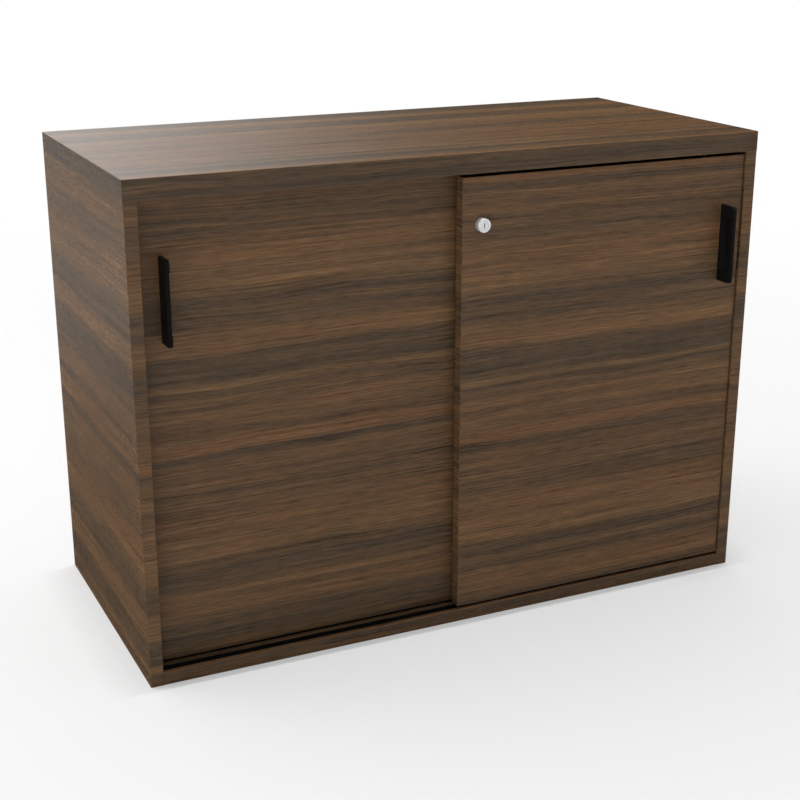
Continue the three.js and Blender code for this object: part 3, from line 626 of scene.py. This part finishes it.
carcass = walnut_board("walnut carcass", shift=(0.30, 0.008, 11.0))
dress(carcass, "bottom_panel", "left_side_panel", "right_side_panel")
dress(walnut_board("walnut top", shift=(0.30, 0.137, 11.0), level_shift=-0.270), "top_panel")
dress(walnut_board("walnut front door", shift=(2.40, 0.042, 15.0)), "front_door")
dress(walnut_board("walnut rear door", shift=(3.10, 0.000, 16.0)), "rear_door")
dress(walnut_board("walnut back", shift=(4.20, 0.110, 17.0)), "back_panel")
dress(walnut_board("walnut shelf", shift=(5.60, 0.050, 18.0)), "shelf")
print("8 boards dressed in walnut")

# %% [markdown]
# The plastics are moulded or extruded, so their skin is never quite even: a fine grain breaks the
# highlight and a broad, faint cloud changes the gloss where hands or sliding pieces have polished it. A
# plain colour with one roughness would be simpler, but every highlight would give it away. One group makes
# that skin for all of them, and each plastic sets its own colours, gloss and grain.

# %% Skin of the plastics
CLOUD = {"scale": 60.0, "detail": 3.0}
CLOUD_EDGE = (0.3, 0.7)      # noise over which the darker colour gives way to the lighter one
GRAIN_DETAIL = 2.0
GRAIN_GLOSS, CLOUD_GLOSS = 0.4, 0.6      # their shares in the gloss
GLOSS_EDGE = (0.3, 0.7)      # noise over which the gloss goes from its low to its high value


def gloss_between(tree, mixed, given):
    low, high = GLOSS_EDGE
    sockets = {0: mixed, 1: low, 2: high, 3: given["Gloss low"], 4: given["Gloss high"]}
    return put(tree, "MapRange", sockets).outputs[0]


def moulded_skin():
    takes = {"Dark": "Color", "Light": "Color", "Grain per metre": "Float"}
    takes.update({"Gloss low": "Float", "Gloss high": "Float"})
    tree, given = start_group("moulded skin", takes)
    place = put(tree, "TexCoord").outputs["Object"]
    grain = plain_noise(tree, place, given["Grain per metre"], GRAIN_DETAIL)
    cloud = plain_noise(tree, place, **CLOUD)
    colour = blend(tree, remap(tree, cloud, *CLOUD_EDGE), given["Dark"], given["Light"])
    mixed = sums(tree, "MULTIPLY_ADD", grain, GRAIN_GLOSS, sums(tree, "MULTIPLY", cloud, CLOUD_GLOSS))
    return close_group(tree, colour, gloss_between(tree, mixed, given), grain)


MOULDED = moulded_skin()
print("moulded skin group:", len(MOULDED.nodes), "nodes")

# %% [markdown]
# Three plastics wear that skin. One black could serve all the dark pieces, but the handles have a fine satin
# texture, while tracks, forks and guides are coarser and duller. The rollers are uncoloured nylon, which is a
# warm white.

# %% Plastics
MOULDED_SPECULAR = 0.5


def plastic(name, dark, light, grain, gloss, depth, specular=MOULDED_SPECULAR):
    values = {"Dark": (*dark, 1), "Light": (*light, 1), "Grain per metre": grain}
    values.update({"Gloss low": gloss[0], "Gloss high": gloss[1]})
    return finish(name, MOULDED, depth, values, specular)


SATIN_BLACK = plastic(
    "satin black handle", dark=(0.0055, 0.0055, 0.006), light=(0.0085, 0.0083, 0.0085),
    grain=2600.0, gloss=(0.38, 0.55), depth=0.02 * MM, specular=0.16,
)
TRACK_BLACK = plastic(
    "black track", dark=(0.005, 0.005, 0.005), light=(0.010, 0.010, 0.010),
    grain=900.0, gloss=(0.45, 0.65), depth=0.03 * MM, specular=0.2,
)
NYLON = plastic(
    "natural nylon", dark=(0.66, 0.62, 0.53), light=(0.74, 0.71, 0.62),
    grain=1500.0, gloss=(0.38, 0.52), depth=0.02 * MM,
)
print("plastics:", SATIN_BLACK.name, TRACK_BLACK.name, NYLON.name)

# %% [markdown]
# The metals share one group too. Plating is nearly even in colour but carries fine scratches and a faint
# bloom. A bump alone could carry the scratches, but from afar they are too fine for it, so they change the
# gloss as well.

# %% Plated metal
BLOOM = {"scale": 220.0, "detail": 4.0}
BLOOM_EDGE = (0.35, 0.75)    # noise over which the bloom's colour takes over
SCRATCH = {"spots": (900.0, 9000.0, 9000.0), "detail": 2.0}
SCRATCH_GLOSS, BLOOM_GLOSS = 0.5, 0.5    # their shares in the gloss


def plated_metal():
    takes = {"Colour": "Color", "Bloom": "Color", "Gloss low": "Float", "Gloss high": "Float"}
    tree, given = start_group("plated metal", takes)
    place = put(tree, "TexCoord").outputs["Object"]
    bloom = plain_noise(tree, place, **BLOOM)
    scratch = stretched_noise(tree, place, **SCRATCH)
    colour = blend(tree, remap(tree, bloom, *BLOOM_EDGE), given["Colour"], given["Bloom"])
    mixed = sums(tree, "MULTIPLY_ADD", scratch, SCRATCH_GLOSS, sums(tree, "MULTIPLY", bloom, BLOOM_GLOSS))
    return close_group(tree, colour, gloss_between(tree, mixed, given), scratch)


PLATED = plated_metal()
print("plated metal group:", len(PLATED.nodes), "nodes")

# %% [markdown]
# The screws, cams and pins are zinc plated and wholly metal. The lock could be a plain mirror, but its flat
# face looks pale and satin, and only its turned side mirrors the studio. So its share of metal follows the
# way the surface looks.

# %% Lock chrome and zinc
METAL_SPECULAR = 0.5
FACE_EDGE = (0.4, 0.9)       # share of the normal along y from a turned side to a flat face
LOCK_METAL = (0.65, 0.10)    # share of metal on the lock's side and on its face


def metal(name, colour, bloom, gloss, depth):
    values = {"Colour": (*colour, 1), "Bloom": (*bloom, 1), "Gloss low": gloss[0], "Gloss high": gloss[1]}
    material = finish(name, PLATED, depth, values, METAL_SPECULAR)
    material.node_tree.nodes["Principled BSDF"].inputs["Metallic"].default_value = 1.0
    return material


def satin_face(material):
    """Let a turned piece's flat faces be less like metal than its round side; its axis runs along y."""
    tree = material.node_tree
    facing = parts_of(tree, put(tree, "NewGeometry").outputs["Normal"])["Y"]
    share = remap(tree, sums(tree, "ABSOLUTE", facing), *FACE_EDGE, *LOCK_METAL)
    tree.links.new(share, tree.nodes["Principled BSDF"].inputs["Metallic"])


LOCK_CHROME = metal(
    "lock chrome", colour=(0.97, 0.97, 0.98), bloom=(0.92, 0.92, 0.94),
    gloss=(0.40, 0.55), depth=0.004 * MM,
)
satin_face(LOCK_CHROME)
ZINC = metal(
    "zinc plate", colour=(0.55, 0.56, 0.58), bloom=(0.44, 0.45, 0.47),
    gloss=(0.32, 0.52), depth=0.01 * MM,
)
print("metals:", LOCK_CHROME.name, ZINC.name)

# %% [markdown]
# Tracks, rollers, guides, screws, cams and shelf pins keep their CAD shapes. Those shapes are faceted, so
# a small geometry-node modifier shades their round faces smoothly and keeps edges over 40 degrees crisp.
# Shading the mesh itself would be quicker to write, but a modifier leaves the piece's own mesh alone, which
# the frame asks for.

# %% Fittings
CRISP_EDGE = math.radians(40)


def smooth_rounds():
    tree = bpy.data.node_groups.new("smooth rounds", "GeometryNodeTree")
    tree.interface.new_socket("Geometry", in_out="INPUT", socket_type="NodeSocketGeometry")
    tree.interface.new_socket("Geometry", in_out="OUTPUT", socket_type="NodeSocketGeometry")
    source, result = tree.nodes.new("NodeGroupInput"), tree.nodes.new("NodeGroupOutput")
    angle = tree.nodes.new("GeometryNodeInputMeshEdgeAngle")
    gentle = tree.nodes.new("FunctionNodeCompare")
    gentle.operation = "LESS_THAN"
    gentle.inputs[1].default_value = CRISP_EDGE
    faces, edges = (tree.nodes.new("GeometryNodeSetShadeSmooth") for _ in range(2))
    edges.domain = "EDGE"
    tree.links.new(angle.outputs["Unsigned Angle"], gentle.inputs[0])
    tree.links.new(source.outputs[0], faces.inputs["Geometry"])
    tree.links.new(faces.outputs[0], edges.inputs["Geometry"])
    tree.links.new(gentle.outputs[0], edges.inputs["Shade Smooth"])
    tree.links.new(edges.outputs[0], result.inputs[0])
    return tree


SMOOTH_ROUNDS = smooth_rounds()


def fittings(material, *words):
    """Dress every CAD piece whose name holds one of the words, and shade it smoothly."""
    names = sorted(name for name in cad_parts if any(word in name for word in words))
    dress(material, *names)
    for name in names:
        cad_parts[name].modifiers.new("smooth rounds", "NODES").node_group = SMOOTH_ROUNDS
    return len(names)


print("zinc pieces:", fittings(ZINC, "cam", "shelf_pin", "screw", "lock_strike", "lock_bolt"))
print("black pieces:", fittings(TRACK_BLACK, "track", "roller_fork", "guide"))
print("nylon pieces:", fittings(NYLON, "roller_left", "roller_right"))
print("chrome pieces:", fittings(LOCK_CHROME, "lock_barrel"))

# %% [markdown]
# The handles and the lock are made from rings of points: each ring is one cross-section, and a strip of
# faces joins it to the next. Blender's own primitives with bevels would be the other way, but a bevel gives
# every edge the same round, while rings can follow any profile. Two helpers do this for all four pieces.

# %% Meshes from rings of points
def skin_over(name, rings, material):
    """Join rings of points into one closed mesh, each ring to the next by a strip of faces."""
    shape = bmesh.new()
    loops = [[shape.verts.new(point) for point in ring] for ring in rings]
    for lower, upper in zip(loops, loops[1:]):
        for i in range(len(lower)):
            shape.faces.new((lower[i - 1], lower[i], upper[i], upper[i - 1]))
    shape.faces.new(loops[0])
    shape.faces.new(loops[-1])
    bmesh.ops.recalc_face_normals(shape, faces=shape.faces)
    for face in shape.faces:
        face.smooth = True
    mesh = bpy.data.meshes.new(name)
    shape.to_mesh(mesh)
    shape.free()
    mesh.set_sharp_from_angle(angle=CRISP_EDGE)
    mesh.materials.append(material)
    piece = bpy.data.objects.new(name, mesh)
    scene.collection.objects.link(piece)
    return piece


def softened(points, radius, steps=4):
    """An open line of 2-D points with each inner corner rounded off."""
    line = [Vector(point) for point in points]
    out = [line[0]]
    for before, corner, after in zip(line, line[1:], line[2:]):
        reach = min(radius, (before - corner).length / 2, (after - corner).length / 2)
        start = corner + (before - corner).normalized() * reach
        end = corner + (after - corner).normalized() * reach
        for i in range(steps + 1):
            t = i / steps
            out.append(start * (1 - t) ** 2 + corner * 2 * t * (1 - t) + end * t ** 2)
    return out + [line[-1]]


print("mesh helpers ready")

# %% [markdown]
# A handle is a black fin that stands out from its door, with a finger scoop on the side towards the
# cabinet's middle. The scoop could be cut with a boolean, but that leaves long thin faces that shade badly.
# Here it is a formula instead: a round bowl drawn out along the handle, with a lip outside it that is set
# back a little.

# %% Finger scoop
SCOOP_RADIUS = 14 * MM
SCOOP_DEPTH = 3.2 * MM
SCOOP_OUT = 14 * MM          # from the door to the scoop's middle
SCOOP_FROM_END = 16 * MM
LIP_SET_BACK = 1.0 * MM      # the lip is thinner along the scoop
LIP_RAMP = 2.0 * MM          # length over which it comes to that


def scoop_depth(out, height, half):
    """How far the scooped face is cut in, at a distance out from the door and a height from the middle."""
    reach = math.sqrt(SCOOP_RADIUS ** 2 - (SCOOP_RADIUS - SCOOP_DEPTH) ** 2)
    straight = half - SCOOP_FROM_END - reach
    away = math.hypot(out - SCOOP_OUT, max(0.0, abs(height) - straight))
    bowl = math.sqrt(max(0.0, SCOOP_RADIUS ** 2 - away ** 2)) - (SCOOP_RADIUS - SCOOP_DEPTH)
    ramp = (half - SCOOP_FROM_END - abs(height)) / LIP_RAMP
    lip = LIP_SET_BACK * min(1.0, max(0.0, ramp)) if out > SCOOP_OUT else 0.0
    return max(bowl, lip, 0.0)


print("scoop", round(SCOOP_DEPTH / MM, 1), "mm deep,", round(SCOOP_OUT / MM), "mm out from the door")

# %% [markdown]
# The fin is lofted from thin slices, stacked from bottom to top. A box with bevels would be quicker, but it
# couldn't follow the scoop. Each slice knows how far out the fin reaches at its height and how deep the scoop
# is there. The round corners come from slices that draw in towards both ends.

# %% Slices of a handle
HANDLE_CORNER = 5 * MM       # round corners at the fin's outer edge
HANDLE_EDGE = 0.8 * MM       # small round along every other edge
SCOOP_STEPS = 56             # along the scooped side of a slice


def round_inset(radius, past):
    """How far a quarter round of this radius has drawn in, at a distance past its start."""
    return radius - math.sqrt(max(0.0, radius ** 2 - past ** 2))


def handle_slice(height, half, out, thick):
    """One slice of the fin as (across, out) points: plain side, outer edge, then the scooped side."""
    past_corner = max(0.0, abs(height) - (half - HANDLE_CORNER))
    past_edge = max(0.0, abs(height) - (half - HANDLE_EDGE))
    inset = round_inset(HANDLE_EDGE, past_edge)
    tip = out - round_inset(HANDLE_CORNER, past_corner) - inset
    side = thick / 2 - inset
    scooped = []
    for i in range(SCOOP_STEPS + 1):
        away = tip * (1 - i / SCOOP_STEPS)
        rounded = round_inset(HANDLE_EDGE, max(0.0, away - (tip - HANDLE_EDGE)))
        scooped.append((-side + rounded + scoop_depth(away, height, half), away))
    plain = [(side, 0.0)] + softened([(side, tip / 2), (side, tip), scooped[0]], HANDLE_EDGE)
    return plain + scooped


print("handle corners of", round(HANDLE_CORNER / MM), "mm")

# %% [markdown]
# The slices could be evenly spaced, but then the round corners would show steps. So they are even along the
# straight part and follow the angle around the corners. Each handle takes its length, reach and thickness
# from the CAD handle that it replaces, and rides on its door.

# %% Handles
SLICE = 1 * MM
CORNER_STEP = 6              # degrees from one slice to the next around a corner
QUARTER_TURN = 90


def slice_heights(half):
    """Heights of the slices from the middle: even along the straight part, by angle around the corners."""
    straight = half - HANDLE_CORNER
    count = round(straight / SLICE)
    heights = [i * straight / count for i in range(count)]
    turns = [math.radians(turn) for turn in range(0, QUARTER_TURN + CORNER_STEP, CORNER_STEP)]
    heights += [straight + HANDLE_CORNER * math.sin(turn) for turn in turns]
    return [-z for z in reversed(heights[1:])] + heights


def handle(door, inward):
    """A handle for one door; inward is -1 where the scoop faces left and +1 where it faces right."""
    node = f"{door}_handle"
    low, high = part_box(node)
    middle, half = (low + high) / 2, (high.z - low.z) / 2
    rings = []
    for z in slice_heights(half):
        points = handle_slice(z, half, high.y - low.y, high.x - low.x)
        rings.append([(middle.x - inward * x, high.y - out, middle.z + z) for x, out in points])
    piece = skin_over(f"{door}_fin_handle", rings, SATIN_BLACK)
    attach(piece, door)
    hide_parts(node)
    return piece


for door, inward in (("front_door", -1), ("rear_door", 1)):
    fin = handle(door, inward)
    print(fin.name, len(fin.data.polygons), "faces")

# %% [markdown]
# The push lock is a satin plated plunger with the keyed plug in its middle; its barrel is hidden in the
# door. Both are turned pieces. A cylinder with a bevel would look much the same, but a profile of radius and
# depth, spun about the lock's axis, also gives the plunger the bore that the plug turns in. Small rounds on
# the profile catch the light.

# %% Lock plunger
LOCK_FACETS = 96
LOCK_TURNS = [math.tau * i / LOCK_FACETS for i in range(LOCK_FACETS)]
LOCK_ROUND = 0.5 * MM
PLUG_GAP = 0.25 * MM         # between the plug and the plunger


def ring_about(centre, radius, y):
    return [(centre.x + radius * math.cos(a), y, centre.z + radius * math.sin(a)) for a in LOCK_TURNS]


def lock_piece(node, rings, body):
    piece = skin_over(node + "_turned", rings, LOCK_CHROME)
    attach(piece, body)
    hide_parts(node)
    print(piece.name, len(piece.data.polygons), "faces")
    return piece


low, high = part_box("lock_plunger")
lock_middle = (low + high) / 2
plunger_radius, plunger_front, plunger_back = (high.x - low.x) / 2, low.y, high.y
plug_low, plug_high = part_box("lock_plug")
plug_radius = (plug_high.x - plug_low.x) / 2
end_radius = plug_radius / 2     # of the flat faces that close a turned piece
bore_radius, bore_floor = plug_radius + PLUG_GAP, plug_high.y + PLUG_GAP
profile = softened([
    (end_radius, bore_floor), (bore_radius, bore_floor), (bore_radius, plunger_front),
    (plunger_radius, plunger_front), (plunger_radius, plunger_back), (end_radius, plunger_back),
], LOCK_ROUND)
lock_piece("lock_plunger", [ring_about(lock_middle, r, y) for r, y in profile], "lock_plunger")

# %% [markdown]
# The plug carries the key slot, which could be cut out afterwards with a boolean. Instead the plug's rings
# change from a circle to a slot, and the last two lead down into it, which leaves no stray faces.

# %% Lock plug
PLUG_LAND = 0.8              # share of the plug's radius where its flat face begins
KEY_WIDE, KEY_TALL, KEY_DEEP = 2.2 * MM, 7.4 * MM, 10 * MM
KEY_MOUTH_WIDER, KEY_MOUTH_DEEP = 0.3 * MM, 0.2 * MM     # the slot's small chamfer


def slot_about(centre, wide, tall, y):
    """A ring of the same count that follows a slot's outline."""
    ring = []
    for a in LOCK_TURNS:
        reach = 1 / max(abs(math.cos(a)) / (wide / 2), abs(math.sin(a)) / (tall / 2))
        ring.append((centre.x + reach * math.cos(a), y, centre.z + reach * math.sin(a)))
    return ring


plug_profile = softened([
    (end_radius, plug_high.y), (plug_radius, plug_high.y),
    (plug_radius, plug_low.y), (plug_radius * PLUG_LAND, plug_low.y),
], LOCK_ROUND / 2)
rings = [ring_about(lock_middle, r, y) for r, y in plug_profile]
mouth = (KEY_WIDE + KEY_MOUTH_WIDER, KEY_TALL + KEY_MOUTH_WIDER)
rings.append(slot_about(lock_middle, *mouth, plug_low.y))
rings.append(slot_about(lock_middle, KEY_WIDE, KEY_TALL, plug_low.y + KEY_MOUTH_DEEP))
rings.append(slot_about(lock_middle, KEY_WIDE, KEY_TALL, plug_low.y + KEY_DEEP))
lock_piece("lock_plug", rings, "lock_plug")

# %% [markdown]
# Nothing here may change the cabinet's size. It could be judged by eye in the viewport, but a few tenths of a
# millimetre wouldn't show. So the box of what is shown is written beside the box of the CAD model, and the
# two are compared.

# %% Sizes and the end
shown_low, shown_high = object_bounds()
growth = [round((a - b) / MM, 2) for a, b in zip(shown_high - shown_low, cad_high - cad_low)]
print("shown box grows by", growth, "mm")
